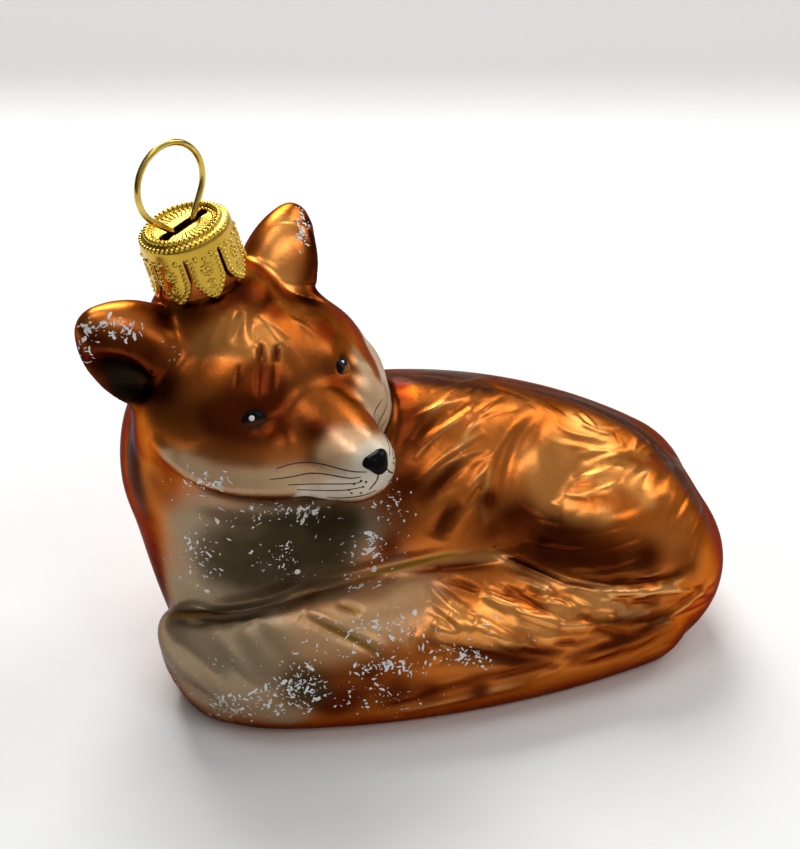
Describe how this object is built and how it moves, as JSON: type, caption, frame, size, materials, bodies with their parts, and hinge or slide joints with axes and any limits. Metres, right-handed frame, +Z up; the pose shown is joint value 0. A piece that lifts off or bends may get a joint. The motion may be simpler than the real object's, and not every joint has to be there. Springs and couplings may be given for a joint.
{
  "type": "glass fox ornament",
  "caption": "Hollow blown-glass fox ornament, lying curled with its tail along the front, with a stamped crown cap over its neck and a wire hanging loop.",
  "frame": {"origin": "on the flat that the fox rests on, under the middle of the body", "axes": "+X along the body from the head to the rump, -Y towards the front where the tail lies, +Z up"},
  "size_m": [0.0934, 0.0513, 0.0801],
  "materials": {
    "glass": "silvered inside, satin copper lacquer outside",
    "enamel": "gloss black",
    "cap": "stamped, bright gold",
    "wire": "drawn, bright gold"
  },
  "bodies": {
    "glass": {"glass_body": "glass", "left_eye": "enamel", "right_eye": "enamel", "nose": "enamel"},
    "cap": {"cap": "cap"},
    "hanger": {"hanger": "wire"}
  },
  "joints": [
    {"name": "cap_pull", "type": "slide", "parent": "glass", "child": "cap", "axis": [-0.2419, 0, 0.9703], "range_m": [0, 0.02]},
    {"name": "hanger_tilt", "type": "hinge", "parent": "cap", "child": "hanger", "pos_m": [-0.0308, 0.0014, 0.06763], "axis": [0.8645, 0.454, 0.2156], "range_deg": [-14, 4]}
  ]
}
